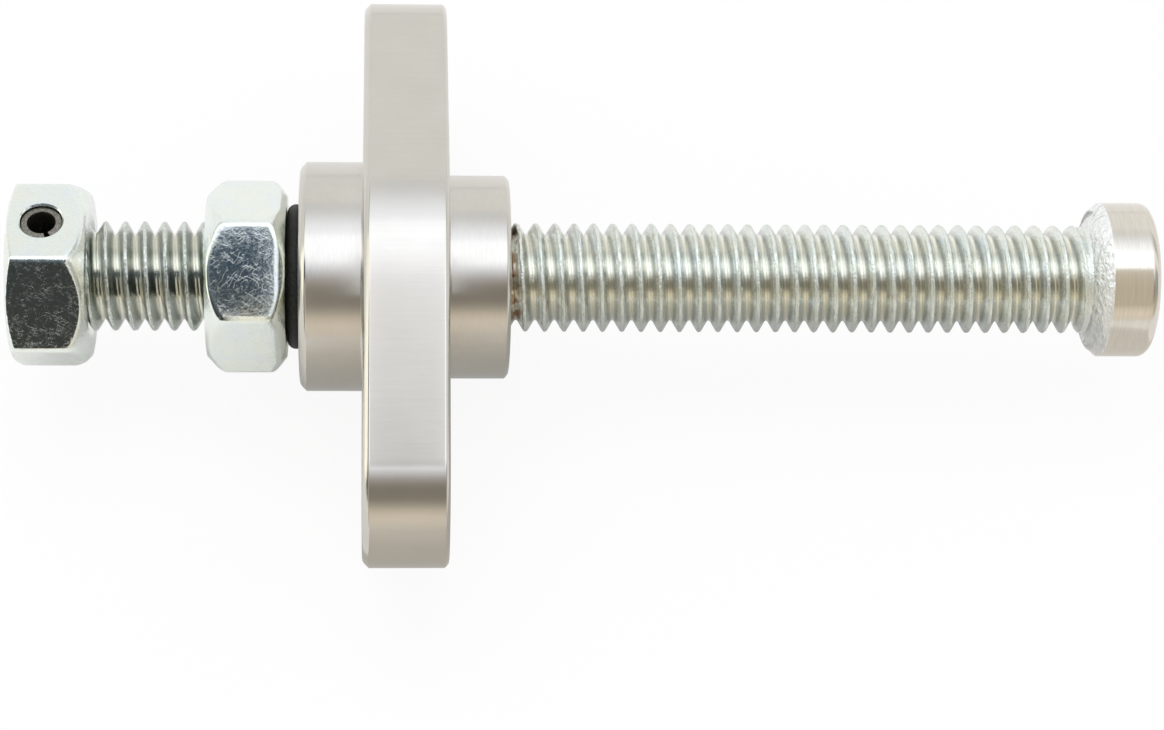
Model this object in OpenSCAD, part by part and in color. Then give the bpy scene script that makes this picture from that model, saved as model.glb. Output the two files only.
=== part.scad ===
// Manual cam chain tensioner for a motorcycle engine.
// The X axis is the adjuster's own axis, and +X points into the engine.
// The Y axis runs through both bolt holes of the flange, and +Z is up.
// The origin is the centre of the flange's mounting face.

/* [Flange] */
// Thickness of the flange
flange_t = 6.1; // [4:0.1:9]
// Distance between the two bolt holes
hole_spacing = 32; // [28:0.5:44]
// Radius of the flange's middle
flange_r = 11; // [9.6:0.1:13]
// Radius of each ear
ear_r = 6.55; // [5.2:0.05:7.5]
// Diameter of the bolt holes
bolt_hole_d = 6.5; // [4.5:0.1:8]
// Edge break on the flange's outline
flange_edge = 0.35; // [0.1:0.05:0.8]

/* [Boss and spigot] */
// Diameter of the outer boss
boss_d = 16.6; // [14:0.1:18]
// Height of the outer boss above the flange
boss_h = 4.55; // [3:0.05:9]
// Diameter of the spigot that enters the engine
spigot_d = 14.75; // [12:0.05:18]
// Length of the spigot
spigot_h = 4.4; // [3:0.1:10]
// Edge break on the boss and the spigot
turned_edge = 0.4; // [0.1:0.05:0.8]
// Depth of the O-ring's seat in the boss
seat_depth = 0.35; // [0.2:0.05:0.7]

/* [Thread] */
// Diameter over the thread's crests
thread_d = 7.92; // [6:0.02:9]
// Threads in one inch
threads_per_inch = 18; // [14:1:24]
// Radial clearance round the thread's crests
thread_clearance = 0.04; // [0.02:0.01:0.08]

/* [Adjuster bolt] */
// Distance from the mounting face to the pusher's end face
reach = 51.4; // [46:0.05:60]
// Overall length of the bolt
bolt_l = 82.5; // [76:0.1:95]
// Diameter of the turned pusher
pusher_d = 11.3; // [10:0.1:12]
// Length of the turned pusher without its underside
pusher_l = 3.55; // [2.5:0.05:6]
// Length of the pusher's plated underside
underside_l = 1; // [0.6:0.05:1.6]
// Rounding of the pusher's end
pusher_edge = 0.7; // [0.3:0.05:1.2]
// Plain neck between the thread and the pusher
neck_l = 0.45; // [0.3:0.05:1]
// Chamfer on the bolt's outer end
bolt_chamfer = 0.6; // [0.3:0.05:1]

/* [Nuts] */
// Width across the flats of both nuts
nut_af = 12.2; // [11.5:0.1:13]
// Width across the nuts' rounded corners
nut_corners = 13.9; // [13.4:0.1:14.4]
// Thickness of the lock nut
lock_nut_t = 5.7; // [4:0.1:8]
// Thickness of the head nut
head_nut_t = 5.6; // [5:0.1:8]
// Diameter of each nut's bearing face
nut_face_d = 10.6; // [10.2:0.1:11.2]
// Angle of the chamfer next to each bearing face
nut_chamfer = 24; // [15:1:30]
// Diameter where the deep side's shoulder meets its chamfer
nut_shoulder_d = 12.4; // [12.3:0.1:12.8]
// Length of the deep side from its face to the end of its shoulder
nut_shoulder_l = 1.5; // [1:0.05:1.8]
// Lean of the head nut's pinned flat from straight up towards -Y
head_nut_lean = -9.9; // [-30:0.1:30]
// Lean of the lock nut's front flat from straight up towards -Y
lock_nut_lean = 26.3; // [-30:0.1:30]

/* [Roll pin] */
// Diameter of the roll pin
roll_pin_d = 2.95; // [2:0.05:3.4]
// Distance of the roll pin's axis from the bolt's outer end
roll_pin_depth = 2.3; // [2.1:0.05:3]
// Wall of the roll pin
roll_pin_wall = 0.5; // [0.3:0.05:0.7]
// Width of the roll pin's slit
roll_pin_slit = 0.45; // [0.2:0.05:0.8]
// Depth of each end of the roll pin below the flat
roll_pin_inset = 0.2; // [0.05:0.05:0.8]
// Radial clearance of the roll pin in its hole
roll_pin_clearance = 0.03; // [0.02:0.01:0.08]
// Turn of the slit from +X, seen from above
roll_pin_turn = -69; // [-180:1:180]
// Edge break on the ends of the roll pin
roll_pin_edge = 0.2; // [0.1:0.05:0.25]

/* [O-ring] */
// Thickness of the O-ring's section
o_ring_t = 1.27; // [1:0.01:1.6]
// Gap left between the O-ring and each face that it seals
o_ring_gap = 0.02; // [0.01:0.01:0.05]

/* [Hidden] */
$fn = 96;
inch = 25.4;

// Thread form: sixty degree flanks, flat crests and roots
pitch = inch / threads_per_inch;
crest_r = thread_d / 2;
thread_depth = 0.6134 * pitch;
root_r = crest_r - thread_depth;
flank_l = thread_depth * tan(30);
crest_l = pitch / 8;
bore_r = crest_r + thread_clearance;
mouth = thread_depth / 2;

// Stations along the axis
boss_x = -flange_t - boss_h;
seat_floor_x = boss_x + seat_depth;
o_ring_x = seat_floor_x - o_ring_gap - o_ring_t / 2;
lock_nut_inner_x = o_ring_x - o_ring_t / 2 - o_ring_gap;
bolt_end_x = reach - bolt_l;
bolt_set_in = 0.2;
head_nut_x = bolt_end_x - bolt_set_in;
roll_pin_x = bolt_end_x + roll_pin_depth;
pusher_x = reach - pusher_l - underside_l;

// Radii that follow from neighbours
o_ring_r = crest_r + o_ring_gap + o_ring_t / 2;
seat_r = o_ring_r + o_ring_t / 2 + o_ring_gap;
pusher_r = pusher_d / 2;
roll_pin_r = roll_pin_d / 2;
roll_pin_hole_r = roll_pin_r + roll_pin_clearance;
roll_pin_l = nut_af - 2 * roll_pin_inset;

// Raised rim on the pusher's underside
rim_r = (crest_r + 2 * pusher_r) / 3;
rim_l = 0.55 * underside_l;
rim_step = 0.12;

// Straight sides of the flange, milled a hair inside the tangent from the middle to an ear
side_inset = 0.02;
side_overlap = 1;
hole_y = hole_spacing / 2;
side_drop = flange_r - ear_r;
side_lean = asin(side_drop / hole_y);
side_l = hole_y * cos(side_lean);
core_y = side_drop * sin(side_lean);
core_z = side_drop * cos(side_lean);

// A shape drawn up Z, laid along X from a station
module along_x(x) {
    translate([x, 0, 0]) rotate([0, 90, 0]) children();
}

// A round bar with its two end edges broken by a chamfer
module edged_bar(r, l, edge_low, edge_high) {
    rotate_extrude()
        polygon([[0, 0], [r - edge_low, 0], [r, edge_low],
                 [r, l - edge_high], [r - edge_high, l], [0, l]]);
}

// A cutter that opens the mouth of a bore, with the bore's end at height 0
module mouth_cutter(r, depth) {
    rotate_extrude()
        polygon([[0, -depth], [r, -depth], [r + depth, 0], [r + depth, 1], [0, 1]]);
}

// A bar under one straight side, from the flange's core out to the side
module side_strip() {
    rise = ear_r - side_inset;
    rotate([-side_lean, 0, 0]) translate([0, 0, side_drop]) rotate([-90, 0, 0])
        linear_extrude(side_l)
            polygon([[-flange_t, side_overlap], [-flange_t, flange_edge - rise],
                     [flange_edge - flange_t, -rise], [-flange_edge, -rise],
                     [0, flange_edge - rise], [0, side_overlap]]);
}

module flange_blank() {
    along_x(-flange_t) edged_bar(flange_r, flange_t, flange_edge, flange_edge);
    for (side = [-1, 1])
        translate([0, side * hole_y, 0])
            along_x(-flange_t) edged_bar(ear_r, flange_t, flange_edge, flange_edge);
    along_x(-flange_t)
        linear_extrude(flange_t)
            polygon([[0, -hole_y], [-core_z, -core_y], [-core_z, core_y],
                     [0, hole_y], [core_z, core_y], [core_z, -core_y]]);
    for (turn = [0, 180])
        rotate([turn, 0, 0]) {
            side_strip();
            mirror([0, 1, 0]) side_strip();
        }
}

module bolt_hole() {
    along_x(-flange_t - 1) cylinder(h = flange_t + 2, d = bolt_hole_d);
    along_x(0) mouth_cutter(bolt_hole_d / 2, flange_edge);
    mirror([1, 0, 0]) along_x(flange_t) mouth_cutter(bolt_hole_d / 2, flange_edge);
}

module housing() {
    color("silver") difference() {
        union() {
            flange_blank();
            along_x(boss_x) edged_bar(boss_d / 2, boss_h + flange_t / 2, turned_edge, 0);
            along_x(-flange_t / 2)
                edged_bar(spigot_d / 2, spigot_h + flange_t / 2, 0, turned_edge);
        }
        along_x(boss_x - 1) cylinder(h = spigot_h - boss_x + 2, r = bore_r);
        along_x(boss_x - 1) cylinder(h = seat_depth + 1, r = seat_r);
        along_x(spigot_h) mouth_cutter(bore_r, mouth);
        for (side = [-1, 1])
            translate([0, side * hole_y, 0]) bolt_hole();
    }
}

// One ridge of the thread, starting at a height
function ridge(start) = [
    [root_r, start],
    [crest_r, start + flank_l],
    [crest_r, start + flank_l + crest_l],
    [root_r, start + 2 * flank_l + crest_l]
];

// Half section of the bolt, with its height measured from the outer end
module bolt_section() {
    pusher_h = pusher_x - bolt_end_x;
    turns = floor((pusher_h - neck_l) / pitch);
    lead = pusher_h - neck_l - turns * pitch;
    polygon(concat(
        [[0, 0], [root_r, 0]],
        [for (i = [0 : turns - 1]) each ridge(lead + i * pitch)],
        [[root_r, pusher_h - neck_l], [crest_r, pusher_h],
         [rim_r, pusher_h + rim_l], [rim_r + rim_step, pusher_h + rim_l],
         [pusher_r, pusher_h + underside_l], [pusher_r, bolt_l - pusher_edge],
         [pusher_r - pusher_edge, bolt_l], [0, bolt_l]]));
    translate([pusher_r - pusher_edge, bolt_l - pusher_edge]) circle(pusher_edge);
}

// A cutter that chamfers the bolt's outer end
module end_chamfer() {
    rotate_extrude()
        polygon([[crest_r - bolt_chamfer, -1], [crest_r + 1, -1], [crest_r + 1, bolt_chamfer + 1],
                 [crest_r - bolt_chamfer, 0]]);
}

// A shape set at the roll pin's place, with Z along the pin
module at_roll_pin() {
    translate([roll_pin_x, 0, 0]) rotate([head_nut_lean, 0, 0]) children();
}

module roll_pin_hole() {
    at_roll_pin() cylinder(h = nut_af + 2, r = roll_pin_hole_r, center = true);
}

module adjuster_bolt() {
    color("lightsteelblue") difference() {
        along_x(bolt_end_x) rotate_extrude() bolt_section();
        along_x(bolt_end_x) end_chamfer();
        roll_pin_hole();
    }
}

// A hex nut standing on its shallow side, with a running bore
module nut(t) {
    face_r = nut_face_d / 2;
    corner_r = nut_corners / 2;
    shoulder_r = nut_shoulder_d / 2;
    slope = tan(nut_chamfer);
    difference() {
        intersection() {
            rotate(30) cylinder(h = t, r = nut_af / 2 / cos(30), $fn = 6);
            rotate_extrude()
                polygon([[0, 0], [face_r, 0], [corner_r, (corner_r - face_r) * slope],
                         [corner_r, t - nut_shoulder_l],
                         [shoulder_r, t - (shoulder_r - face_r) * slope],
                         [face_r, t], [0, t]]);
        }
        translate([0, 0, -1]) cylinder(h = t + 2, r = bore_r);
        translate([0, 0, t]) mouth_cutter(bore_r, mouth);
        mirror([0, 0, 1]) mouth_cutter(bore_r, mouth);
    }
}

module head_nut() {
    color("gainsboro") difference() {
        rotate([head_nut_lean, 0, 0]) along_x(head_nut_x) nut(head_nut_t);
        roll_pin_hole();
    }
}

module roll_pin() {
    color("gray") at_roll_pin() rotate(roll_pin_turn) translate([0, 0, -roll_pin_l / 2])
        difference() {
            edged_bar(roll_pin_r, roll_pin_l, roll_pin_edge, roll_pin_edge);
            translate([0, 0, -1]) cylinder(h = roll_pin_l + 2, r = roll_pin_r - roll_pin_wall);
            translate([0, -roll_pin_slit / 2, -1])
                cube([roll_pin_r + 1, roll_pin_slit, roll_pin_l + 2]);
        }
}

// Its deep side faces the head nut
module lock_nut() {
    color("gainsboro") rotate([lock_nut_lean, 0, 0])
        mirror([1, 0, 0]) along_x(-lock_nut_inner_x) nut(lock_nut_t);
}

module o_ring() {
    color("black") along_x(o_ring_x)
        rotate_extrude() translate([o_ring_r, 0]) circle(o_ring_t / 2);
}

housing();
adjuster_bolt();
head_nut();
roll_pin();
lock_nut();
o_ring();
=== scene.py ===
"""Looks of a manual cam chain tensioner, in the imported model's own frame.

+X runs along the adjuster into the engine, +Y through the flange's bolt holes, +Z up.
Sizes below are in millimetres until they become mesh points, which are in metres.
"""

import math

import bmesh
import bpy
import numpy as np
from mathutils import Matrix, Vector
from mathutils.geometry import tessellate_polygon


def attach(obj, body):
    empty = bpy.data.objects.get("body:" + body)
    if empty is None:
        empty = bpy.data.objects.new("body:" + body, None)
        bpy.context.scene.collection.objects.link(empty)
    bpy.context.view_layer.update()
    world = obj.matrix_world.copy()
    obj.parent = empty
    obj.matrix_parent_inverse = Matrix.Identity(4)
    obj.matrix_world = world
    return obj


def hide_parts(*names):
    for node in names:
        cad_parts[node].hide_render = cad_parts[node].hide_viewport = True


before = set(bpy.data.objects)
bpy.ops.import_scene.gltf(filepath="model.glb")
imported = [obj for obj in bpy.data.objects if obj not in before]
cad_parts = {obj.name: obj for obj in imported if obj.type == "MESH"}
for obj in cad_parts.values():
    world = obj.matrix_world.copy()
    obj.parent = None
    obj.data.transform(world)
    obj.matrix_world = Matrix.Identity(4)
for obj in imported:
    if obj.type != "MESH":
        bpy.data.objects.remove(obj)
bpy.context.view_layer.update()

MM = 0.001
TAU = 2 * math.pi

# Sizes of the housing
FLANGE_T = 6.1
HOLE_Y = 16.0
FLANGE_R = 11.0
EAR_R = 6.55
BOLT_HOLE_R = 3.25
OUTER_EDGE = 0.47
INNER_EDGE = 0.3
ROOT_ROUND = 0.12
BOSS_R = 8.3
BOSS_X = -10.65
SPIGOT_R = 7.375
SPIGOT_X = 4.4
SEAT_DEPTH = 0.35
SEAT_GAP = 0.02
SEAT_EDGE = 0.06
BORE_R = 4.0
MOUTH = 0.43

# Reach of the small rounds that end a chamfer, beside a face and beside a side
FACE_SOFT = 0.22
SIDE_SOFT = 0.05

# Width of the narrow rings that keep a rounding's slanted normals off the flat beside it
LIP = 0.06

# Sizes of the thread, which is right handed
PITCH = 25.4 / 18
CREST_R = 3.96
THREAD_DEPTH = 0.6134 * PITCH
ROOT_R = CREST_R - THREAD_DEPTH
FLANK_LEAN = math.radians(30)
CREST_TOP_X = -24.671
CREST_TOP_ANGLE = math.radians(28.3)
NICK_DEPTH = 0.07

# Shares of the pitch: half a crest's flat, half the width that nicks reach, and the thread's points
CREST_HALF = 0.085
NICK_HALF = 0.12
THREAD_SHARES = (-0.5, -0.43, -0.37, -0.3, -0.2, -0.11, -0.065, -0.03,
                 0.0, 0.03, 0.065, 0.11, 0.2, 0.3, 0.37, 0.43)

# Width of the bends at crest and root, as a share of the thread's depth, and how tight they are
BEND_WIDTH = 0.13
BEND_TIGHT = 2.2

# Stations along the adjuster
BOLT_END_X = -31.1
BOLT_CHAMFER = 0.6
RUNOUT_X = 46.25
NECK_X = 46.5
NECK_R = 3.92
PUSHER_X = 46.85
PUSHER_R = 5.65
PUSHER_SIDE_X = 47.85
REACH = 51.4
PUSHER_EDGE = 0.7
PUSHER_END_RING = 0.1
PUSHER_MIDDLE_R = 1.0

# The pusher's plated underside: fillet, groove, ridge of (depth, offset from its middle), and edge
NECK_ROOT = 0.12
GROOVE_X = PUSHER_X + 0.3
GROOVE_R = 4.55
RIDGE_R = (CREST_R + 2 * PUSHER_R) / 3
RIDGE = ((0.55, -0.16), (0.42, -0.1), (0.38, 0.0), (0.42, 0.1), (0.6, 0.2))
UNDERSIDE_EDGE_X = PUSHER_SIDE_X - 0.1
UNDERSIDE_EDGE_R = PUSHER_R - 0.07
PLATING_END_X = PUSHER_SIDE_X + 0.05

# Sizes of the nuts and their small parts
NUT_AF = 12.2
NUT_CORNER_ROUND = 0.6
NUT_FACE_R = 5.18
HEAD_NUT_X = -31.3
HEAD_NUT_T = 5.6
HEAD_NUT_LEAN = math.radians(-9.9)
LOCK_NUT_X = -17.31
LOCK_NUT_T = 5.7
LOCK_NUT_LEAN = math.radians(26.3)
PIN_X = BOLT_END_X + 2.3
PIN_R = 1.475
PIN_HOLE_R = 1.505
PIN_WALL = 0.5
PIN_SLIT = 0.45
PIN_TURN = math.radians(-69)
PIN_HALF = NUT_AF / 2 - 0.2
PIN_FLARE = 0.1
BOLT_DRILL_HALF = 4.2
O_RING_T = 1.27
O_RING_R = 4.615
O_RING_X = -10.955

# Levels of the pin's chamfered end: depth below it, and what the outside and the bore give way
PIN_END = ((0.0, 0.14, 0.05), (0.05, 0.05, 0.02), (0.18, 0, 0))

# Rims of the nuts: the cone's radius in the face and its slope, then how far the flats sink, and
# over which depth
DEEP_RIM = (5.83, 1.06, 0.0, 1.0)
HEAD_RIM = (5.72, 2.7, 0.0, 1.0)
LOCK_RIM = (5.85, 1.31, 0.35, 0.75)

# Width of the round between a nut's cone and its flats, and how much that widens at the corners
RIM_SOFT = 0.12
RIM_WIDENS = 0.4

# Degrees from a flat's middle to where a nut's points lie closer together, and to its corner
NUT_EVEN_HALF = 25.5
NUT_CORNER = 30.0

# Depths below a nut's face at which its rim has points
RIM_DEPTHS = (0.0, 0.02, 0.05, 0.1, 0.16, 0.23, 0.31, 0.4, 0.5, 0.6, 0.7, 0.8, 0.92, 1.05, 1.2, 1.4)

# Numbers of points round a circle or along an arc
ROUND = 192
BOLT_HOLE_ROUND = 96
BOLT_ROUND = 80
DRILL_ROUND = 64
O_RING_ROUND = 40
PIN_POINTS = 73
EAR_POINTS = 61
MIDDLE_POINTS = 21
NUT_FLAT_POINTS = 35
NUT_CORNER_POINTS = 16
ROOT_POINTS = 4
PUSHER_EDGE_POINTS = 8
REFLECTOR_ROWS = 61
REFLECTOR_COLUMNS = 21

# Edges with more than this many degrees between their faces stay sharp
SHARP = 32
STEEL_SHARP = 40


# Mesh building

def circle(x, r, count=ROUND):
    """A ring of points round the X axis."""
    a = np.arange(count) * TAU / count
    return np.stack([np.full(count, float(x)), r * np.cos(a), r * np.sin(a)], 1)


def rounding(x, r, edge, start, end, steps):
    """Stations (x, r) along a quarter round with its centre at (x, r)."""
    turns = np.linspace(math.radians(start), math.radians(end), steps)
    return [(x + edge * math.cos(t), r + edge * math.sin(t)) for t in turns]


class Shell:
    """Collects rings of points and the faces between them, then makes one welded mesh."""

    def __init__(self):
        self.points = []
        self.faces = []
        self.paints = {}

    def ring(self, points):
        start = len(self.points)
        self.points.extend(map(tuple, points))
        return list(range(start, start + len(points)))

    def bridge(self, a, b):
        n = len(a)
        self.faces += [(a[i], a[(i + 1) % n], b[(i + 1) % n], b[i]) for i in range(n)]

    def sweep(self, rings):
        made = [self.ring(r) for r in rings]
        for a, b in zip(made, made[1:]):
            self.bridge(a, b)
        return made

    def paint(self, first, index):
        """Gives the faces made since a count of faces another material."""
        self.paints.update({i: index for i in range(first, len(self.faces))})

    def cap(self, ring, point):
        centre = self.ring([point])[0]
        n = len(ring)
        self.faces += [(ring[i], ring[(i + 1) % n], centre) for i in range(n)]

    def sheet(self, loops):
        """Fills a flat face: the first loop is its outline and the others are holes."""
        order = [i for loop in loops for i in loop]
        flat = [[Vector((self.points[i][1], self.points[i][2], 0)) for i in loop] for loop in loops]
        self.faces += [tuple(order[i] for i in t) for t in tessellate_polygon(flat)]

    def mesh(self, name, sharp=SHARP):
        """Welds points that lie in one place, and drops the faces that this closes up."""
        points = np.array(self.points)
        _, index, inverse = np.unique(
            np.round(points, 6), axis=0, return_index=True, return_inverse=True)
        inverse = inverse.reshape(-1)
        faces = []
        paints = []
        for i, face in enumerate(self.faces):
            kept = list(dict.fromkeys(int(inverse[j]) for j in face))
            if len(kept) > 2:
                faces.append(kept)
                paints.append(self.paints.get(i, 0))
        data = bpy.data.meshes.new(name)
        data.from_pydata((points[index] * MM).tolist(), [], faces)
        data.polygons.foreach_set("material_index", paints)
        piece = bpy.data.objects.new(name, data)
        bpy.context.scene.collection.objects.link(piece)
        face_outwards(data)
        smooth(data, sharp)
        return piece


def smooth(data, sharp):
    """Shades a mesh smooth, apart from its sharp edges."""
    data.shade_smooth()
    data.set_sharp_from_angle(angle=math.radians(sharp))


def face_outwards(data):
    """Turns every face of a mesh outwards."""
    work = bmesh.new()
    work.from_mesh(data)
    bmesh.ops.recalc_face_normals(work, faces=work.faces)
    work.to_mesh(data)
    work.free()


def cut(piece, cutter, sharp):
    """Takes the cutter's volume out of a piece and drops the cutter."""
    step = piece.modifiers.new("cut", "BOOLEAN")
    step.operation = "DIFFERENCE"
    step.solver = "EXACT"
    step.object = cutter
    graph = bpy.context.evaluated_depsgraph_get()
    data = bpy.data.meshes.new_from_object(piece.evaluated_get(graph))
    piece.modifiers.clear()
    piece.data = data
    smooth(data, sharp)
    bpy.data.objects.remove(cutter)


def across(points):
    """Turns points from a frame whose Z runs along the roll pin into the part's frame."""
    turn = Matrix.Rotation(HEAD_NUT_LEAN, 3, "X")
    return [tuple(turn @ Vector(p) + Vector((PIN_X, 0, 0))) for p in points]


def drill(name, half, flare=0.0):
    """A bar that drills the roll pin's hole, with a flared mouth at each end."""
    shell = Shell()
    r = PIN_HOLE_R
    stations = [(-half - 1, r + flare), (-half, r + flare), (-half + flare, r),
                (half - flare, r), (half, r + flare), (half + 1, r + flare)]
    a = np.arange(DRILL_ROUND) * TAU / DRILL_ROUND
    rings = [np.stack([radius * np.cos(a), radius * np.sin(a), np.full(DRILL_ROUND, z)], 1)
             for z, radius in stations]
    made = shell.sweep([across(ring) for ring in rings])
    shell.faces += [tuple(made[0]), tuple(made[-1])]
    return shell.mesh(name)


# The housing

def flange_outline(inset):
    """Points (y, z) round the flange: ear arcs, middle arcs and the tangents between them."""
    lean = math.asin((FLANGE_R - EAR_R) / HOLE_Y)
    points = []
    for side in (0, math.pi):
        ear = np.linspace(lean - math.pi / 2, math.pi / 2 - lean, EAR_POINTS)
        for a in ear:
            y = HOLE_Y + (EAR_R - inset) * math.cos(a)
            z = (EAR_R - inset) * math.sin(a)
            points.append((y * math.cos(side), z if side == 0 else -z))
        middle = np.linspace(math.pi / 2 - lean, math.pi / 2 + lean, MIDDLE_POINTS)
        for a in middle:
            y = (FLANGE_R - inset) * math.cos(a)
            z = (FLANGE_R - inset) * math.sin(a)
            points.append((y, z) if side == 0 else (-y, -z))
    return points


def outline_ring(x, inset):
    return [(x, y, z) for y, z in flange_outline(inset)]


def hole_ring(x, side, r):
    ring = circle(x, r, BOLT_HOLE_ROUND)
    ring[:, 1] += side * HOLE_Y
    return ring


def half_break(size, soft):
    """Stations (depth, inset) from a flat face on to a chamfer of 45 degrees, by a small round."""
    return [(0.0, size + soft + LIP), (0.0, size + soft), (0.18 * soft, size + 0.08 * soft),
            (0.7 * soft, size - 0.7 * soft)]


def edge_break(size):
    """Stations (depth, inset) over a chamfer that is softer beside the face than beside the side."""
    side = half_break(size, SIDE_SOFT)
    return half_break(size, FACE_SOFT) + [(inset, depth) for depth, inset in reversed(side)]


def flange_edge():
    """Stations (x, inset) from the flange's inner face to its outer face, over both chamfers."""
    inner = [(-depth, inset) for depth, inset in edge_break(INNER_EDGE)]
    outer = [(depth - FLANGE_T, inset) for depth, inset in reversed(edge_break(OUTER_EDGE))]
    return inner + outer


def turned_profile():
    """Stations (x, r) of what is turned: the spigot, the bore, the O-ring's seat and the boss."""
    root = ROOT_ROUND
    floor_x = BOSS_X + SEAT_DEPTH
    seat_r = O_RING_R + O_RING_T / 2 + SEAT_GAP
    profile = [(0.0, SPIGOT_R + root + LIP)]
    profile += rounding(root, SPIGOT_R + root, root, 180, 270, ROOT_POINTS)
    profile += [(root + LIP, SPIGOT_R)]
    profile += [(SPIGOT_X - depth, SPIGOT_R - inset)
                for depth, inset in reversed(edge_break(INNER_EDGE))]
    profile += [(SPIGOT_X, BORE_R + MOUTH + LIP),
                (SPIGOT_X, BORE_R + MOUTH), (SPIGOT_X - MOUTH, BORE_R)]
    profile += [(floor_x, BORE_R), (floor_x, seat_r),
                (BOSS_X + SEAT_EDGE, seat_r), (BOSS_X, seat_r + SEAT_EDGE)]
    profile += [(BOSS_X + depth, BOSS_R - inset) for depth, inset in edge_break(OUTER_EDGE)]
    profile += [(-FLANGE_T - root - LIP, BOSS_R)]
    profile += rounding(-FLANGE_T - root, BOSS_R + root, root, 270, 360, ROOT_POINTS)
    return profile + [(-FLANGE_T, BOSS_R + root + LIP)]


def make_housing():
    """One closed mesh: the flange's outline and faces, two bolt holes, boss, spigot and bore."""
    shell = Shell()
    edge = flange_edge()
    outline = shell.sweep([outline_ring(x, inset) for x, inset in edge])
    shell.paint(0, 1)
    holes = [shell.sweep([hole_ring(x, side, BOLT_HOLE_R + inset) for x, inset in edge])
             for side in (-1, 1)]
    turned = shell.sweep([circle(x, r) for x, r in turned_profile()])
    for face in (0, -1):
        shell.sheet([outline[face], holes[0][face], holes[1][face], turned[face]])
    return shell.mesh("housing_machined")


# The adjuster bolt

def off_crest(share):
    """Distance from the nearest crest, as a share of the pitch."""
    return abs((share + 0.5) % 1.0 - 0.5)


def bend(value):
    """The value itself well above 0 and nothing well below it, with a soft bend between."""
    return BEND_WIDTH * math.log(1 + math.exp(value / BEND_WIDTH * BEND_TIGHT)) / BEND_TIGHT


def thread_profile(share):
    """Radius of the thread at a share of the pitch, with a crest at 0 and a root at a half."""
    flank = (off_crest(share) - CREST_HALF) / (THREAD_DEPTH * math.tan(FLANK_LEAN) / PITCH)
    drop = 1 - bend(1 - bend(flank))
    return CREST_R - THREAD_DEPTH * min(drop, 1.0)


def ended(x, r):
    """The thread's radius after the bolt's end chamfer and the fade into the plain neck."""
    if x == BOLT_END_X:
        return CREST_R - BOLT_CHAMFER
    fade = min(max((x - RUNOUT_X) / (NECK_X - RUNOUT_X), 0), 1)
    fade = fade * fade * (3 - 2 * fade)
    return min(r + (NECK_R - r) * fade, CREST_R - BOLT_CHAMFER + (x - BOLT_END_X))


def nick(i, station):
    """A repeatable share from 0 to 1, mostly small, that chips one place on a crest."""
    wave = math.sin(i * 12.9898 + station * 78.233) * 43758.5453
    return (wave - math.floor(wave)) ** 3


def thread_points():
    """The thread's grid: each column follows the helix, and its ends are flat."""
    first = int((BOLT_END_X - CREST_TOP_X) / PITCH) - 2
    last = int((NECK_X - CREST_TOP_X) / PITCH) + 2
    stations = [k + s for k in range(first, last + 1) for s in THREAD_SHARES]
    radii = [thread_profile(s) for s in stations]
    grid = []
    for i in range(BOLT_ROUND):
        angle = TAU * i / BOLT_ROUND
        lead = CREST_TOP_X + PITCH * (angle - CREST_TOP_ANGLE) / TAU
        column = []
        for station, r in zip(stations, radii):
            if off_crest(station) < NICK_HALF:
                r -= NICK_DEPTH * nick(i, station)
            x = min(max(lead + station * PITCH, BOLT_END_X), NECK_X)
            r = ended(x, r)
            column.append((x, r * math.cos(angle), r * math.sin(angle)))
        grid.append(column)
    return grid


def add_thread(shell):
    """Joins the thread's columns, of which the last meets the first one pitch further on."""
    made = [shell.ring(column) for column in thread_points()]
    rows = len(made[0])
    for i in range(BOLT_ROUND):
        a, b = made[i], made[(i + 1) % BOLT_ROUND]
        shift = len(THREAD_SHARES) if i == BOLT_ROUND - 1 else 0
        for m in range(rows - 1 - shift):
            shell.faces.append((a[m], a[m + 1], b[m + 1 + shift], b[m + shift]))


def underside_profile():
    """Stations (x, r) from the plain neck over the plated underside to the pusher's side."""
    ridge = [(PUSHER_X + depth, RIDGE_R + offset) for depth, offset in RIDGE]
    return [(NECK_X, NECK_R), (PUSHER_X - NECK_ROOT, NECK_R), (PUSHER_X, NECK_R + NECK_ROOT),
            (GROOVE_X, GROOVE_R), *ridge, (UNDERSIDE_EDGE_X, UNDERSIDE_EDGE_R),
            (PUSHER_SIDE_X, PUSHER_R), (PLATING_END_X, PUSHER_R)]


def pusher_profile():
    """Stations (x, r) along the pusher's bare side, round its edge and over its end."""
    e = PUSHER_EDGE
    profile = [(PLATING_END_X, PUSHER_R), (REACH - e - LIP, PUSHER_R)]
    profile += rounding(REACH - e, PUSHER_R - e, e, 90, 0, PUSHER_EDGE_POINTS)
    return profile + [(REACH, PUSHER_R - e - PUSHER_END_RING), (REACH, PUSHER_MIDDLE_R)]


def make_bolt():
    """The threaded bar, its turned pusher and the rough underside between them."""
    shell = Shell()
    add_thread(shell)
    end = shell.ring(circle(BOLT_END_X, CREST_R - BOLT_CHAMFER, BOLT_ROUND))
    shell.cap(end, (BOLT_END_X, 0, 0))
    shell.sweep([circle(x, r, BOLT_ROUND) for x, r in underside_profile()])
    plated = len(shell.faces)
    turned = shell.sweep([circle(x, r, BOLT_ROUND) for x, r in pusher_profile()])
    shell.cap(turned[-1], (REACH, 0, 0))
    shell.paint(plated, 1)
    bolt = shell.mesh("adjuster_bolt_threaded", STEEL_SHARP)
    cut(bolt, drill("drill_bolt", BOLT_DRILL_HALF), STEEL_SHARP)
    return bolt


# The nuts

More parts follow.
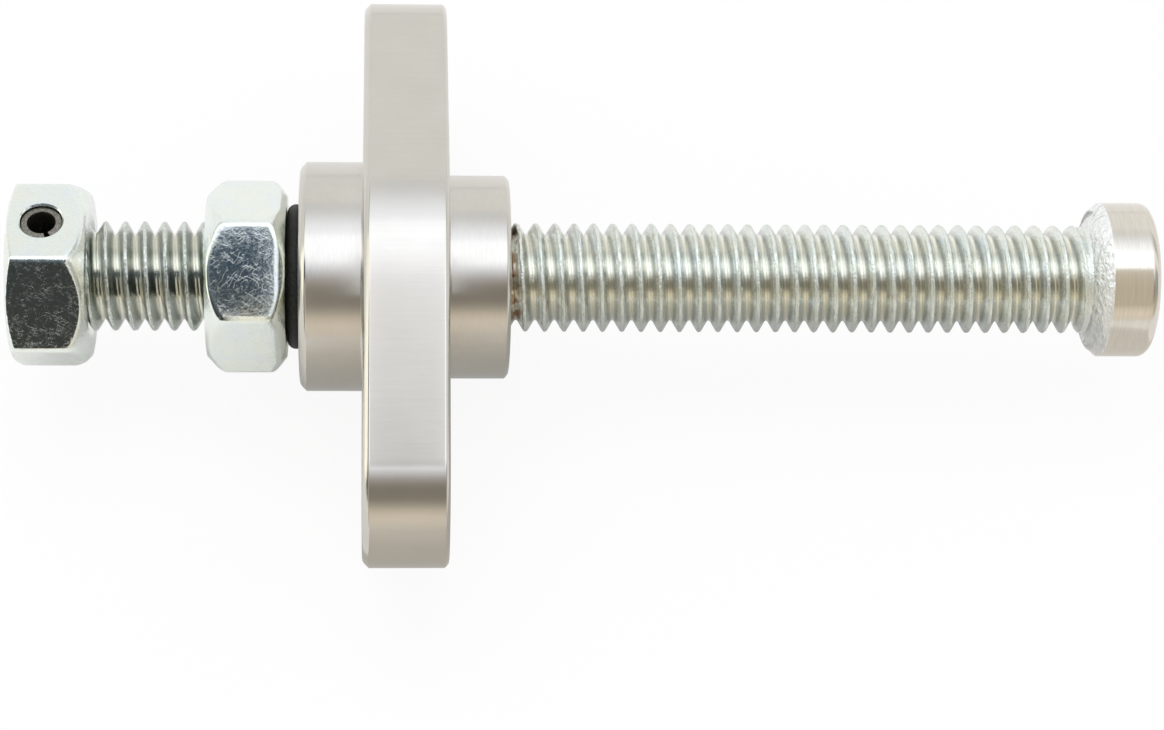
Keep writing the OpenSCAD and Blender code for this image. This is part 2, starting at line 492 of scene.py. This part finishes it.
def hex_radius(angle):
    """Radius of a hexagon with rounded corners, with a flat facing angle 0."""
    half = NUT_AF / 2
    away = (angle + math.pi / 6) % (math.pi / 3) - math.pi / 6
    corner = (half - NUT_CORNER_ROUND) / math.cos(math.pi / 6)
    beside = math.pi / 6 - abs(away)
    reach = corner * math.sin(beside)
    start = (half - NUT_CORNER_ROUND) * math.tan(math.pi / 6)
    if half * math.tan(abs(away)) <= start:
        return half / math.cos(away)
    return corner * math.cos(beside) + math.sqrt(NUT_CORNER_ROUND ** 2 - reach ** 2)


def soft_min(a, b, width):
    """The smaller of two values, rounded where they cross."""
    h = max(width - abs(a - b), 0) / width
    return min(a, b) - h * h * width / 4


def nut_angles():
    """Angles round a nut, close together over its rounded corners."""
    flat = np.linspace(-NUT_EVEN_HALF, NUT_EVEN_HALF, NUT_FLAT_POINTS)
    corner = np.linspace(NUT_EVEN_HALF, NUT_CORNER, NUT_CORNER_POINTS)
    sixth = np.concatenate([-corner[::-1][:-1], flat, corner[1:-1]])
    return np.radians(np.concatenate([sixth + 2 * NUT_CORNER * i for i in range(6)]))


def nut_reach(hexagon, depth, rim):
    """Radius at a depth below one face: a cone cuts the corners and a round breaks the flats."""
    face_r, slope, drop, width = rim
    sunk = drop * (1 - min(depth / width, 1.0)) ** 2
    soft = RIM_SOFT + RIM_WIDENS * (hexagon - NUT_AF / 2)
    return soft_min(hexagon - sunk, face_r + slope * depth, soft)


def make_nut(name, x, thickness, lean, low, high):
    """A hex nut with rounded corners; low and high say how its two rims are shaped."""
    angles = nut_angles() + lean
    radii = [hex_radius(a - lean) for a in angles]
    depths = [*RIM_DEPTHS, thickness / 2, *(thickness - d for d in reversed(RIM_DEPTHS))]

    def loop_at(station, reaches):
        return [(station, -r * math.sin(a), r * math.cos(a)) for a, r in zip(angles, reaches)]

    def flat(station, r):
        return loop_at(station, [r] * len(angles))

    rings = [loop_at(x + d, [min(nut_reach(r, d, low), nut_reach(r, thickness - d, high))
                             for r in radii]) for d in depths]
    faces_r = (NUT_FACE_R, BORE_R + MOUTH + LIP, BORE_R + MOUTH)
    loop = [flat(x, r) for r in reversed(faces_r)] + rings
    loop += [flat(x + thickness, r) for r in faces_r]
    loop += [flat(x + thickness - MOUTH, BORE_R), flat(x + MOUTH, BORE_R)]
    shell = Shell()
    made = shell.sweep(loop)
    shell.bridge(made[-1], made[0])
    return shell.mesh(name, STEEL_SHARP)


# Small parts

def make_roll_pin():
    """A slit tube whose ends are chamfered inside and out."""
    shell = Shell()
    half_slit = PIN_SLIT / 2 / PIN_R
    angles = np.linspace(PIN_TURN + half_slit, PIN_TURN + TAU - half_slit, PIN_POINTS)
    bore = PIN_R - PIN_WALL
    levels = [(PIN_HALF - depth, outer, inner) for depth, outer, inner in PIN_END]
    levels += [(-z, outer, inner) for z, outer, inner in reversed(levels)]
    rings = []
    for z, outer, inner in levels:
        ring = [((PIN_R - outer) * math.cos(a), (PIN_R - outer) * math.sin(a), z) for a in angles]
        ring += [((bore + inner) * math.cos(a), (bore + inner) * math.sin(a), z)
                 for a in reversed(angles)]
        rings.append(across(ring))
    made = shell.sweep(rings)
    n = len(angles)
    for ring in (made[0], made[-1]):
        shell.faces += [(ring[i], ring[i + 1], ring[2 * n - 2 - i], ring[2 * n - 1 - i])
                        for i in range(n - 1)]
    return shell.mesh("roll_pin_slit")


def make_o_ring():
    """A ring of round section."""
    shell = Shell()
    section = np.arange(O_RING_ROUND) * TAU / O_RING_ROUND
    r = O_RING_T / 2
    made = shell.sweep([circle(O_RING_X + r * math.cos(t), O_RING_R + r * math.sin(t))
                        for t in section])
    shell.bridge(made[-1], made[0])
    return shell.mesh("o_ring_rubber", sharp=180)


# Materials

class Shader:
    """One node material, with a short call for each kind of node it uses."""

    def __init__(self, name, **constants):
        self.material = bpy.data.materials.new(name)
        self.material.use_nodes = True
        self.tree = self.material.node_tree
        self.surface = self.tree.nodes["Principled BSDF"]
        self.set(**constants)
        place = self.node("ShaderNodeTexCoord").outputs["Object"]
        self.place = self.node("ShaderNodeVectorMath", {0: place, "Scale": 1 / MM},
                               operation="SCALE").outputs[0]

    def node(self, kind, inputs=None, **settings):
        made = self.tree.nodes.new(kind)
        for key, value in settings.items():
            setattr(made, key, value)
        for key, value in (inputs or {}).items():
            self.feed(made.inputs[key], value)
        return made

    def feed(self, socket, value):
        if isinstance(value, bpy.types.NodeSocket):
            self.tree.links.new(value, socket)
        elif hasattr(value, "__len__") and len(value) == 3 and socket.type == "RGBA":
            socket.default_value = (*value, 1.0)
        else:
            socket.default_value = value

    def set(self, **values):
        for key, value in values.items():
            self.feed(self.surface.inputs[key.replace("_", " ").title()], value)

    def maths(self, operation, a, b=0.0, clamp=False):
        return self.node("ShaderNodeMath", {0: a, 1: b}, operation=operation,
                         use_clamp=clamp).outputs[0]

    def weighted(self, a, b, share):
        """Adds a share of b to the rest of a."""
        return self.maths("ADD", self.maths("MULTIPLY", a, 1 - share),
                          self.maths("MULTIPLY", b, share))

    def part(self, axis):
        return self.node("ShaderNodeSeparateXYZ", {0: self.place}).outputs[axis]

    def radius(self):
        """Distance from the X axis, in millimetres."""
        y = self.maths("POWER", self.part("Y"), 2.0)
        z = self.maths("POWER", self.part("Z"), 2.0)
        return self.maths("SQRT", self.maths("ADD", y, z))

    def stretched(self, x, y, z):
        return self.node("ShaderNodeVectorMath", {0: self.place, 1: (x, y, z)},
                         operation="MULTIPLY").outputs[0]

    def rings(self, drift=0.12):
        """Coordinates that hardly change round the X axis, as a lathe's marks do."""
        lines = self.node("ShaderNodeCombineXYZ", {"X": self.part("X"), "Y": self.radius()})
        slow = self.stretched(0.0, drift, drift)
        return self.node("ShaderNodeVectorMath", {0: lines.outputs[0], 1: slow},
                         operation="ADD").outputs[0]

    def noise(self, scale, detail=2.0, vector=None, rough=0.5):
        inputs = {"Vector": vector or self.place, "Scale": scale, "Detail": detail,
                  "Roughness": rough}
        return self.node("ShaderNodeTexNoise", inputs).outputs["Fac"]

    def spread(self, value, low, high, start=0.0, end=1.0):
        inputs = {"Value": value, "From Min": low, "From Max": high, "To Min": start, "To Max": end}
        return self.node("ShaderNodeMapRange", inputs).outputs[0]

    def mix(self, share, a, b):
        """Colour a, or colour b where the share is 1."""
        made = self.node("ShaderNodeMix", data_type="RGBA")
        self.feed(made.inputs[0], share)
        self.feed(made.inputs[6], a)
        self.feed(made.inputs[7], b)
        return made.outputs[2]

    def bump(self, height, depth, under=None):
        """Raises the surface by a depth in millimetres where the height is 1."""
        inputs = {"Height": height, "Distance": depth * MM, "Strength": 1.0}
        if under:
            inputs["Normal"] = under
        return self.node("ShaderNodeBump", inputs).outputs[0]


# Colours of the metals and of the rubber

ALUMINIUM = (0.635, 0.61, 0.56)
ALUMINIUM_DULL = (0.59, 0.565, 0.515)
ZINC = (0.825, 0.87, 0.81)
ZINC_BLUE = (0.80, 0.85, 0.86)
ZINC_YELLOW = (0.86, 0.86, 0.76)
ZINC_DARK = (0.52, 0.55, 0.53)
THREAD_ZINC = (0.85, 0.87, 0.81)
# Painted shade low on the thread's flanks, towards the root
THREAD_ROOT_SHADE = (0.25, 0.26, 0.23)
# Painted glint along the thread's root
PAINTED_ROOT_GLINT = (0.95, 0.94, 0.84)
# Painted light: the pusher's underside is brighter than the rest of the plating, for its bright
# reflections
UNDERSIDE_PAINTED_LIGHT = (0.95, 0.96, 0.95)
THREAD_DARK = (0.28, 0.30, 0.27)
# Painted shade on the thread between the nuts
THREAD_NUTS_SHADE = (0.31, 0.33, 0.30)
BARE_STEEL = (0.74, 0.70, 0.62)
BARE_DULL = (0.66, 0.62, 0.55)
PIN_STEEL = (0.30, 0.29, 0.25)
PIN_DARK = (0.16, 0.15, 0.13)
RUST = (0.26, 0.13, 0.05)
RUBBER = (0.012, 0.012, 0.011)
RUBBER_DUST = (0.03, 0.03, 0.027)
RUBBER_SHEEN = 0.25

# How strong the dark mottle in the plating is, and how rough a nut's dull flecks are
NUT_MOTTLE = 0.22
THREAD_MOTTLE = 0.85
HEAD_DULLEST = 0.36
LOCK_DULLEST = 0.24

# The trace of rust: its middle and half its width along the bolt
RUST_X = SPIGOT_X + 0.35
RUST_HALF = 0.5


def turned_aluminium():
    """Satin aluminium from a lathe: fine rings and a slow cloudy variation."""
    s = Shader("turned_aluminium", metallic=1.0)
    fine = s.noise(11.0, 3.0, s.rings())
    dull = s.spread(s.weighted(fine, s.noise(0.35, 3.0), 0.6), 0.3, 0.7)
    s.set(base_color=s.mix(dull, ALUMINIUM, ALUMINIUM_DULL),
          roughness=s.spread(fine, 0.3, 0.7, 0.15, 0.19),
          normal=s.bump(fine, 0.0006))
    return s.material


def milled_aluminium():
    """The flange's edge, milled along the bolt axis: fine lines run along X."""
    s = Shader("milled_aluminium", metallic=1.0)
    lines = s.noise(9.0, 4.0, s.stretched(0.02, 1.0, 1.0), 0.6)
    grain = s.noise(12.0, 2.0)
    dull = s.spread(s.weighted(lines, s.noise(0.3, 3.0), 0.6), 0.3, 0.7)
    s.set(base_color=s.mix(dull, ALUMINIUM, ALUMINIUM_DULL),
          roughness=s.spread(grain, 0.3, 0.7, 0.15, 0.2),
          normal=s.bump(lines, 0.0010, s.bump(grain, 0.0005)))
    return s.material


def scratches(s, scale, turn):
    """Thin crossed lines where a stretched noise passes its middle."""
    turned = s.node("ShaderNodeVectorRotate", {"Vector": s.place, "Angle": turn},
                    rotation_type="AXIS_ANGLE").outputs[0]
    long = s.node("ShaderNodeVectorMath", {0: turned, 1: (0.12, 2.2, 2.2)},
                  operation="MULTIPLY").outputs[0]
    away = s.maths("ABSOLUTE", s.maths("SUBTRACT", s.noise(scale, 0.0, long), 0.5))
    return s.spread(away, 0.0, 0.014, 1.0, 0.0)


def zinc(name, plain, dark, mottle):
    """Bright zinc plate: a faint tint of blue and yellow by patches, fine dents and specks."""
    s = Shader(name, metallic=1.0)
    patch = s.weighted(s.noise(0.5, 3.0), s.noise(3.0, 3.0), 0.4)
    grain = s.noise(7.0, 4.0, rough=0.65)
    colour = s.mix(s.spread(patch, 0.48, 0.64), plain, ZINC_BLUE)
    colour = s.mix(s.spread(patch, 0.45, 0.31), colour, ZINC_YELLOW)
    colour = s.mix(s.spread(grain, 0.5, 0.78, 0.0, mottle), colour, dark)
    dents = s.noise(3.2, 5.0, rough=0.7)
    normal = s.bump(grain, 0.003, s.bump(dents, 0.009))
    return s, colour, dents, normal


def nut_zinc(name, dullest):
    """Zinc on a nut, with dull flecks and the fine crossed scratches that spanners leave."""
    s, colour, _, normal = zinc(name, ZINC, ZINC_DARK, NUT_MOTTLE)
    marks = s.maths("MAXIMUM", scratches(s, 1.3, 0.6), scratches(s, 1.5, 2.3))
    marks = s.maths("MULTIPLY", marks, s.spread(s.noise(1.4, 2.0), 0.42, 0.56))
    slow = s.spread(s.noise(0.9, 3.0), 0.35, 0.65, -0.06, 0.06)
    flecks = s.spread(s.maths("ADD", s.noise(4.2, 3.0, rough=0.6), slow), 0.44, 0.74)
    rough = s.maths("MAXIMUM", flecks, s.maths("MULTIPLY", marks, 0.8))
    mottle = s.noise(2.6, 4.0, rough=0.6)
    s.set(base_color=colour, roughness=s.spread(rough, 0.0, 1.0, 0.07, dullest),
          normal=s.bump(marks, 0.003, s.bump(mottle, 0.0085, normal)))
    return s.material


def rust_trace(s):
    """Share of rust, in a ragged band just past the spigot's end."""
    away = s.maths("ABSOLUTE", s.maths("SUBTRACT", s.part("X"), RUST_X))
    near = s.spread(away, 0.0, RUST_HALF, 1.0, 0.0)
    return s.maths("MULTIPLY", near, s.spread(s.noise(1.2, 2.0), 0.4, 0.6), clamp=True)


def thread_colour(s, plating, crest, root, pits):
    """Plating with painted shade outside the lock nut and low on the flanks, and a painted glint at
    the root.
    """
    # Painted shade on the thread outside the lock nut, between the nuts
    nuts_shade = s.maths("MULTIPLY", s.spread(s.part("X"), BOSS_X, LOCK_NUT_X), 0.6)
    # Painted shade low on the flanks, towards the root
    flank_shade = s.spread(s.radius(), ROOT_R + 0.55, ROOT_R + 0.2, 0.0, 0.5)
    flank = s.mix(flank_shade, s.mix(nuts_shade, plating, THREAD_NUTS_SHADE), THREAD_ROOT_SHADE)
    # Crests lighter in patches, where the pits are
    crest_patches = s.maths("MULTIPLY", crest, s.spread(pits, 0.4, 0.6, 0.2, 0.9))
    # Painted glint along the root
    return s.mix(s.maths("MULTIPLY", root, 0.8), s.mix(crest_patches, flank, ZINC), PAINTED_ROOT_GLINT)


def thread_zinc():
    """Zinc on the thread: painted shade on the flanks, ragged bright crests and a rusty trace beside
    the spigot.
    """
    s, plating, dents, normal = zinc("thread_zinc", THREAD_ZINC, THREAD_DARK, THREAD_MOTTLE)
    crest = s.spread(s.radius(), CREST_R - 0.16, CREST_R - 0.04)
    root = s.spread(s.radius(), ROOT_R + 0.2, ROOT_R + 0.06)
    pits = s.noise(4.6, 4.0, rough=0.7)
    underside = s.spread(s.part("X"), NECK_X, PUSHER_X + 0.2)
    rough = s.maths("MULTIPLY", underside, s.noise(2.1, 2.5, rough=0.55))
    edge = s.maths("MULTIPLY", crest, pits)
    # Painted light: a brighter colour on the pusher's underside
    colour = s.mix(underside, thread_colour(s, plating, crest, root, pits), UNDERSIDE_PAINTED_LIGHT)
    s.set(base_color=s.mix(rust_trace(s), colour, RUST),
          roughness=s.maths("SUBTRACT", s.spread(dents, 0.3, 0.7, 0.1, 0.2),
                            s.maths("MULTIPLY", root, 0.06)),
          normal=s.bump(rough, 0.3, s.bump(edge, 0.055, s.bump(pits, 0.007, normal))))
    return s.material


def bare_steel():
    """The pusher's turned side and end, with no plating."""
    s = Shader("bare_steel", metallic=1.0)
    fine = s.noise(9.0, 4.0, s.rings(0.05), 0.65)
    colour = s.mix(s.spread(fine, 0.3, 0.7), BARE_STEEL, BARE_DULL)
    s.set(base_color=colour, roughness=s.spread(fine, 0.3, 0.7, 0.13, 0.19),
          normal=s.bump(fine, 0.001))
    return s.material


def pin_steel():
    """Dark spring steel with a coarse grain."""
    s = Shader("pin_steel", metallic=1.0)
    grain = s.noise(6.0, 3.0)
    s.set(base_color=s.mix(s.spread(grain, 0.35, 0.65), PIN_STEEL, PIN_DARK),
          roughness=s.spread(grain, 0.3, 0.7, 0.3, 0.45), normal=s.bump(grain, 0.008))
    return s.material


def rubber():
    """Black rubber with a little dust on it."""
    s = Shader("rubber")
    s.surface.inputs["Specular IOR Level"].default_value = RUBBER_SHEEN
    grain = s.noise(5.0, 4.0)
    s.set(base_color=s.mix(s.spread(grain, 0.35, 0.65), RUBBER, RUBBER_DUST),
          roughness=s.spread(grain, 0.3, 0.7, 0.42, 0.6), normal=s.bump(grain, 0.02))
    return s.material


# The stage: camera, floor, plain light and lamp

CAMERA_AT = (-4.26, -111.99, 196.21)
CAMERA_RIGHT = Vector((0.9981, -0.0274, 0.0559))
CAMERA_UP = Vector((-0.0021, 0.8822, 0.4709))
CAMERA_LENS = 95.9
CAMERA_SENSOR = 36.0
CAMERA_CLIP = 10.0
WHITE = (1.0, 1.0, 1.0)
FLOOR_Z = -11.1
FLOOR_HALF = 4000.0
FLOOR_PAPER = (0.92, 0.92, 0.92)
FLOOR_GLOW = 0.9
WORLD_FILL = 0.85
KEY_SIZE = 300.0
KEY_AT = (-60.0, 120.0, 420.0)
KEY_RADIANCE = 2.0

# Light that mirrors see. Each list holds (degrees above the camera's direction, colour), round the
# X axis, with no colour brighter than LIGHT_TOP.

LIGHT_TOP = 1.9
TENT_R = 450.0
TENT_LONG = 1500.0
TENT_LEFT_FADE = (-70.0, -300.0)
TENT_RIGHT_FADE = (190.0, 420.0)
SOFTBOX = (1.66, 1.72, 1.88)
TENT_MIDDLE = [
    (-80, (0.70, 0.67, 0.62)), (-66, (0.84, 0.78, 0.69)), (-50, (0.94, 0.85, 0.74)),
    (-42, (0.80, 0.72, 0.60)), (-33, (0.44, 0.41, 0.35)), (-26, (0.31, 0.28, 0.24)),
    (-12, (0.30, 0.28, 0.24)), (-3, (0.50, 0.47, 0.45)), (6, (0.94, 0.97, 1.05)),
    (13, (1.38, 1.43, 1.58)), (17, SOFTBOX), (40.5, SOFTBOX), (43.5, (1.42, 1.48, 1.64)),
    (50.5, (1.32, 1.38, 1.52)), (57, (1.17, 1.22, 1.32)), (65, (0.99, 1.02, 1.08)),
    (72, (0.90, 0.92, 0.95)), (80, (0.95, 0.95, 0.96))]
TENT_LEFT = [
    (-80, (0.40, 0.42, 0.44)), (-50, (0.50, 0.47, 0.38)), (-32, (0.36, 0.35, 0.30)),
    (-18, (0.28, 0.29, 0.27)), (14, (0.30, 0.32, 0.30)), (24, (1.0, 1.0, 0.98)),
    (30, (1.6, 1.6, 1.58)), (46, (1.6, 1.6, 1.58)), (53, (0.86, 0.90, 0.85)),
    (64, (0.62, 0.66, 0.62)), (80, (0.62, 0.66, 0.63))]
TENT_RIGHT = [
    (-80, (0.50, 0.50, 0.47)), (-50, (0.62, 0.58, 0.48)), (-20, (0.44, 0.43, 0.40)),
    (14, (0.50, 0.50, 0.50)), (26, (1.0, 1.0, 1.0)), (48, (1.1, 1.1, 1.1)),
    (58, (0.60, 0.61, 0.60)), (80, (0.55, 0.57, 0.56))]

# Near cards, each round one sub-part: radius and X range, then its light

HEAD_CARD_PLACE = (26.0, -90.0, -19.5)
HEAD_CARD = [
    (-53, (0.07, 0.07, 0.065)), (-50, (0.05, 0.05, 0.047)), (-24, (0.04, 0.045, 0.045)),
    (-8, (0.10, 0.12, 0.14)), (6, (0.15, 0.18, 0.21)), (13, (0.20, 0.23, 0.27)),
    (15, (0.40, 0.43, 0.47))]
LOCK_CARD_PLACE = (26.0, -19.5, -12.2)
LOCK_CARD = [
    (-53, (0.92, 0.86, 0.74)), (-4, (0.96, 0.92, 0.84)), (-2, (0.06, 0.07, 0.08)),
    (6, (0.05, 0.07, 0.10)), (13, (0.07, 0.10, 0.14)), (15, (0.12, 0.15, 0.2))]
FLANGE_CARD_PLACE = (32.0, -6.8, 0.8)
FLANGE_CARD = [
    (-16, (0.74, 0.76, 0.80)), (-6, (0.96, 0.99, 1.04)), (8, (1.06, 1.09, 1.14)),
    (17, (1.17, 1.19, 1.26)), (19, (1.26, 1.3, 1.4)), (21, (1.5, 1.56, 1.7))]
PUSHER_CARD_PLACE = (30.0, 47.6, 60.0)
PUSHER_CARD = [
    (-33, (0.66, 0.60, 0.49)), (-12, (0.66, 0.60, 0.49)), (8, (0.71, 0.66, 0.57)),
    (15, (0.80, 0.77, 0.70))]

# The paper that mirrors see below the part: (Y, colour), and a lighter patch below the pusher

SHADE = [
    (-440, (0.84, 0.79, 0.69)), (-150, (0.78, 0.74, 0.66)), (-60, (0.74, 0.70, 0.64)),
    (-25, (0.60, 0.58, 0.54)), (-4, (0.46, 0.46, 0.45)), (12, (0.46, 0.46, 0.45))]
SHADE_LIFT = 0.04
SHADE_LEFT = -12.5
SHADE_RIGHT = 60.0
SHADE_PUSHER = (0.74, 0.72, 0.69)
SHADE_PUSHER_FADE = (44.0, 48.0)

# The side light, which stands on the floor

SIDE_LIGHT = (1.75, 1.7, 1.5)
SIDE_LIGHT_X = -300.0
SIDE_LIGHT_NEAR = -300.0
SIDE_LIGHT_FAR = 62.0
SIDE_LIGHT_TOP = 110.0


def make_camera():
    """The photograph's own camera, from a fit to the part's edges."""
    data = bpy.data.cameras.new("camera")
    camera = bpy.data.objects.new("camera", data)
    bpy.context.scene.collection.objects.link(camera)
    back = CAMERA_RIGHT.cross(CAMERA_UP)
    turn = Matrix((CAMERA_RIGHT, CAMERA_UP, back)).transposed()
    camera.matrix_world = Matrix.Translation(Vector(CAMERA_AT) * MM) @ turn.to_4x4()
    data.lens = CAMERA_LENS
    data.sensor_width = CAMERA_SENSOR
    data.clip_start = CAMERA_CLIP * MM
    bpy.context.scene.camera = camera


def glow(name, build):
    """A material that only emits, with its colour from build(shader)."""
    s = Shader(name)
    s.tree.nodes.remove(s.surface)
    light = s.node("ShaderNodeEmission", {"Color": build(s)})
    s.tree.links.new(light.outputs[0], s.tree.nodes["Material Output"].inputs[0])
    return s.material


def ramp(s, value, stops):
    """Colour from a list of (share, colour)."""
    made = s.node("ShaderNodeValToRGB", {"Fac": value})
    items = made.color_ramp.elements
    while len(items) < len(stops):
        items.new(0.5)
    for item, (at, colour) in zip(items, stops):
        item.position = at
        item.color = (*colour, 1.0)
    return made.outputs["Color"]


def stops_at(s, value, stops):
    """Colour from a list of (value, colour), which may be brighter than 1."""
    low, high = stops[0][0], stops[-1][0]
    scaled = [((at - low) / (high - low), tuple(c / LIGHT_TOP for c in colour))
              for at, colour in stops]
    colour = ramp(s, s.spread(value, low, high), scaled)
    return s.node("ShaderNodeVectorMath", {0: colour, "Scale": LIGHT_TOP},
                  operation="SCALE").outputs[0]


def camera_lean():
    """Angle of the camera's direction from straight up, seen along the X axis."""
    return math.atan2(CAMERA_AT[1], CAMERA_AT[2])


def angle_up(s):
    """Angle of a place above the camera's direction, round the X axis, in degrees."""
    angle = s.maths("MULTIPLY", s.maths("ARCTAN2", s.part("Y"), s.part("Z")), 180 / math.pi)
    return s.maths("SUBTRACT", angle, math.degrees(camera_lean()))


def tent_colour(s):
    """A long softbox with dark and beige parts below it, and darker far ends."""
    angle = angle_up(s)
    colour = s.mix(s.spread(s.part("X"), *TENT_LEFT_FADE), stops_at(s, angle, TENT_MIDDLE),
                   stops_at(s, angle, TENT_LEFT))
    return s.mix(s.spread(s.part("X"), *TENT_RIGHT_FADE), colour, stops_at(s, angle, TENT_RIGHT))


def light_for_mirrors(piece, build):
    """Makes a piece of the stage glow, and lets nothing but reflections see it."""
    piece.data.materials.append(glow(piece.name + "_light", build))
    piece.visible_camera = False
    piece.visible_diffuse = False
    piece.visible_shadow = False
    piece.visible_transmission = False


def flat_sheet(name, corners):
    """One flat face of the stage."""
    shell = Shell()
    shell.faces.append(tuple(shell.ring(corners)))
    return shell.mesh(name)


def make_reflector(name, radius, x_low, x_high, stops, colour=None):
    """A curved sheet of light round the X axis, as high as its stops reach."""
    shell = Shell()
    rows = []
    for degrees in np.linspace(stops[0][0], stops[-1][0], REFLECTOR_ROWS):
        a = camera_lean() + math.radians(degrees)
        y, z = radius * math.sin(a), radius * math.cos(a)
        stations = np.linspace(x_low, x_high, REFLECTOR_COLUMNS)
        rows.append(shell.ring([(x, y, z) for x in stations]))
    for a, b in zip(rows, rows[1:]):
        shell.faces += [(a[i], a[i + 1], b[i + 1], b[i]) for i in range(len(a) - 1)]
    light_for_mirrors(shell.mesh(name), colour or (lambda s: stops_at(s, angle_up(s), stops)))


def make_reflectors():
    make_reflector("light_tent", TENT_R, -TENT_LONG, TENT_LONG, TENT_MIDDLE, tent_colour)
    make_reflector("head_card", *HEAD_CARD_PLACE, HEAD_CARD)
    make_reflector("lock_card", *LOCK_CARD_PLACE, LOCK_CARD)
    make_reflector("flange_card", *FLANGE_CARD_PLACE, FLANGE_CARD)
    make_reflector("pusher_card", *PUSHER_CARD_PLACE, PUSHER_CARD)


def make_side_light():
    """A cream light far off on the left, which the edges that face -X show as bright lines."""
    corners = [(SIDE_LIGHT_X, SIDE_LIGHT_NEAR, FLOOR_Z), (SIDE_LIGHT_X, SIDE_LIGHT_FAR, FLOOR_Z),
               (SIDE_LIGHT_X, SIDE_LIGHT_FAR, SIDE_LIGHT_TOP),
               (SIDE_LIGHT_X, SIDE_LIGHT_NEAR, SIDE_LIGHT_TOP)]
    light_for_mirrors(flat_sheet("side_light", corners), lambda s: SIDE_LIGHT)


def shade_colour(s):
    """Shade by the distance from the part, and lighter below the pusher."""
    pusher = s.spread(s.part("X"), *SHADE_PUSHER_FADE)
    return s.mix(pusher, stops_at(s, s.part("Y"), SHADE), SHADE_PUSHER)


def make_shade():
    """The shaded paper under the housing, the thread and the pusher, as mirrors see it."""
    z = FLOOR_Z + SHADE_LIFT
    near, far = SHADE[0][0], SHADE[-1][0]
    corners = [(SHADE_LEFT, near, z), (SHADE_RIGHT, near, z),
               (SHADE_RIGHT, far, z), (SHADE_LEFT, far, z)]
    light_for_mirrors(flat_sheet("floor_shade", corners), shade_colour)


def make_floor():
    """A wide pale floor whose own white glow keeps it near white, with a soft shadow."""
    half = FLOOR_HALF
    floor = flat_sheet("floor", [(-half, -half, FLOOR_Z), (half, -half, FLOOR_Z),
                                 (half, half, FLOOR_Z), (-half, half, FLOOR_Z)])
    s = Shader("floor_paper", base_color=FLOOR_PAPER, roughness=0.9)
    own = s.node("ShaderNodeEmission", {"Color": WHITE, "Strength": 1.0})
    seen = s.node("ShaderNodeLightPath")
    share = s.maths("MULTIPLY", seen.outputs["Is Camera Ray"], FLOOR_GLOW)
    both = s.node("ShaderNodeMixShader", {0: share, 1: s.surface.outputs[0], 2: own.outputs[0]})
    s.tree.links.new(both.outputs[0], s.tree.nodes["Material Output"].inputs[0])
    floor.data.materials.append(s.material)


def make_world():
    """White where it is seen or mirrored, and a plain pale level for everything else."""
    world = bpy.data.worlds.new("studio")
    world.use_nodes = True
    tree = world.node_tree
    path = tree.nodes.new("ShaderNodeLightPath")
    seen = path.outputs["Is Camera Ray"]
    for name in ("Is Glossy Ray", "Is Transmission Ray"):
        either = tree.nodes.new("ShaderNodeMath")
        either.operation = "MAXIMUM"
        tree.links.new(seen, either.inputs[0])
        tree.links.new(path.outputs[name], either.inputs[1])
        seen = either.outputs[0]
    strength = tree.nodes.new("ShaderNodeMapRange")
    strength.inputs["To Min"].default_value = WORLD_FILL
    tree.links.new(seen, strength.inputs["Value"])
    background = tree.nodes["Background"]
    background.inputs["Color"].default_value = (*WHITE, 1.0)
    tree.links.new(strength.outputs[0], background.inputs["Strength"])
    bpy.context.scene.world = world


def make_key():
    """One broad lamp above, for the floor's soft shadow. The tent stands for it in mirrors."""
    data = bpy.data.lights.new("key", "AREA")
    data.shape = "SQUARE"
    data.size = KEY_SIZE * MM
    data.energy = KEY_RADIANCE * math.pi * (KEY_SIZE * MM) ** 2
    key = bpy.data.objects.new("key", data)
    bpy.context.scene.collection.objects.link(key)
    key.location = Vector(KEY_AT) * MM
    key.rotation_euler = Vector(KEY_AT).to_track_quat("Z", "Y").to_euler()
    key.visible_glossy = False


# Putting it together

def dress(piece, body, node, slot, *materials):
    """Gives a piece its materials, puts it on its body and hides the imported part it replaces."""
    for material in materials:
        piece.data.materials.append(material)
    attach(piece, body)
    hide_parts(node)


def make_part():
    dress(make_housing(), "housing", "housing", "housing_metal", turned_aluminium(),
          milled_aluminium())
    dress(make_bolt(), "adjuster", "adjuster_bolt", "adjuster_steel", thread_zinc(), bare_steel())
    head = make_nut("head_nut_zinc", HEAD_NUT_X, HEAD_NUT_T, HEAD_NUT_LEAN, HEAD_RIM, DEEP_RIM)
    cut(head, drill("drill_head", NUT_AF / 2, PIN_FLARE), STEEL_SHARP)
    dress(head, "adjuster", "head_nut", "head_nut_plating", nut_zinc("head_zinc", HEAD_DULLEST))
    lock = make_nut("lock_nut_zinc", LOCK_NUT_X, LOCK_NUT_T, LOCK_NUT_LEAN, DEEP_RIM, LOCK_RIM)
    dress(lock, "lock_nut", "lock_nut", "lock_nut_plating", nut_zinc("lock_zinc", LOCK_DULLEST))
    dress(make_roll_pin(), "adjuster", "roll_pin", "pin_steel", pin_steel())
    dress(make_o_ring(), "seal", "o_ring", "seal_rubber", rubber())


def set_view():
    bpy.context.scene.view_settings.view_transform = "Standard"


set_view()
make_camera()
make_part()
make_reflectors()
make_shade()
make_side_light()
make_floor()
make_world()
make_key()
